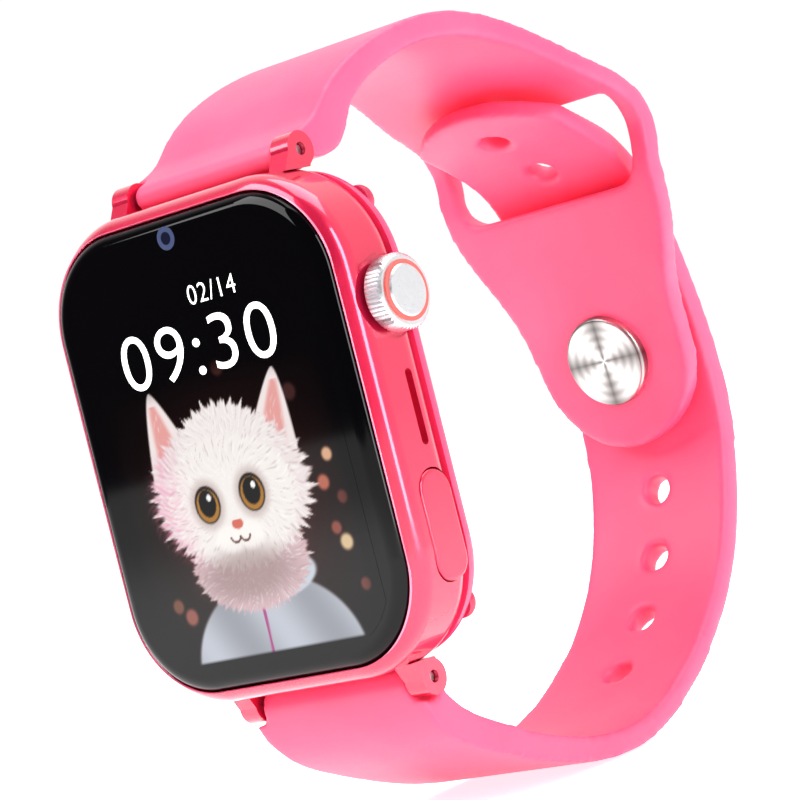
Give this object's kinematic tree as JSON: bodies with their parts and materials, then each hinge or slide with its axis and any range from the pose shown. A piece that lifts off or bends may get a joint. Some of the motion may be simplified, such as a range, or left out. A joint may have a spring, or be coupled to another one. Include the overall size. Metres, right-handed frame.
{
  "type": "children's smart watch",
  "caption": "Children's smart watch with a rounded rectangular case, side crown and button, and a closed pin-and-tuck silicone band.",
  "frame": {"origin": "middle of the wrist opening inside the closed band", "axes": "-Y out through the screen, +Z towards twelve o'clock, +X towards the crown"},
  "size_m": [0.0406, 0.0662, 0.0745],
  "materials": {
    "lacquered_metal": "gloss lacquer",
    "black_glass": "polished",
    "black_plastic": "matte",
    "dark_plastic": "gloss",
    "seal_rubber": "matte",
    "pink_plastic": "gloss",
    "pink_screws": "satin",
    "gold_contacts": "polished",
    "crown_steel": "satin",
    "red_plastic": "gloss",
    "steel": "satin",
    "silicone": "satin",
    "stud_steel": "turned",
    "silver_foil": "satin",
    "board_green": "matte"
  },
  "bodies": {
    "case": {"case_shell": "lacquered_metal", "display_glass": "black_glass", "display_panel": "black_plastic", "front_camera": "dark_plastic", "back_seal": "seal_rubber", "back_cover": "pink_plastic", "back_screws": "pink_screws", "sensor_pad": "dark_plastic", "charging_contacts": "gold_contacts", "crown_seal": "seal_rubber", "speaker_grille": "red_plastic", "battery": "silver_foil", "main_board": "board_green", "speaker_module": "black_plastic", "vibration_motor": "steel", "microphone": "steel", "sim_holder": "steel", "crown_switch": "black_plastic", "side_button_switch": "black_plastic", "upper_insert": "lacquered_metal", "lower_insert": "lacquered_metal", "upper_spring_bar": "steel", "lower_spring_bar": "steel"},
    "crown_plunger": {"crown_sleeve": "steel"},
    "crown": {"crown_wheel": "crown_steel", "crown_ring": "red_plastic", "crown_cap": "crown_steel", "crown_stem": "steel"},
    "button": {"side_button": "lacquered_metal"},
    "upper_band": {"upper_strap": "silicone", "strap_stud": "stud_steel"},
    "lower_band": {"lower_strap": "silicone"},
    "upper_left_tip": {"upper_left_tip": "steel"},
    "upper_right_tip": {"upper_right_tip": "steel"},
    "lower_left_tip": {"lower_left_tip": "steel"},
    "lower_right_tip": {"lower_right_tip": "steel"}
  },
  "joints": [
    {"name": "crown_press", "type": "slide", "parent": "case", "child": "crown_plunger", "axis": [-1, 0, 0], "range_m": [0, 0.0004], "stiffness_N_per_m": 1500},
    {"name": "crown_turn", "type": "hinge", "parent": "crown_plunger", "child": "crown", "pos_m": [0.019, -0.0296, 0.0097], "axis": [1, 0, 0], "continuous": true},
    {"name": "side_button_press", "type": "slide", "parent": "case", "child": "button", "axis": [-1, 0, 0], "range_m": [0, 0.0004], "stiffness_N_per_m": 1500},
    {"name": "upper_band_hinge", "type": "hinge", "parent": "case", "child": "upper_band", "pos_m": [0, -0.0279, 0.02465], "axis": [1, 0, 0], "range_deg": [-1.6, 0]},
    {"name": "lower_band_hinge", "type": "hinge", "parent": "case", "child": "lower_band", "pos_m": [0, -0.0279, -0.02465], "axis": [1, 0, 0], "range_deg": [-1.6, 0]},
    {"name": "upper_left_tip_slide", "type": "slide", "parent": "case", "child": "upper_left_tip", "axis": [1, 0, 0], "range_m": [0, 0.0019], "stiffness_N_per_m": 400},
    {"name": "upper_right_tip_slide", "type": "slide", "parent": "case", "child": "upper_right_tip", "axis": [-1, 0, 0], "range_m": [0, 0.0019], "stiffness_N_per_m": 400},
    {"name": "lower_left_tip_slide", "type": "slide", "parent": "case", "child": "lower_left_tip", "axis": [1, 0, 0], "range_m": [0, 0.0019], "stiffness_N_per_m": 400},
    {"name": "lower_right_tip_slide", "type": "slide", "parent": "case", "child": "lower_right_tip", "axis": [-1, 0, 0], "range_m": [0, 0.0019], "stiffness_N_per_m": 400}
  ],
  "couplings": [
    {"joint": "lower_band_hinge", "follows": "upper_band_hinge", "ratio": 1}
  ]
}
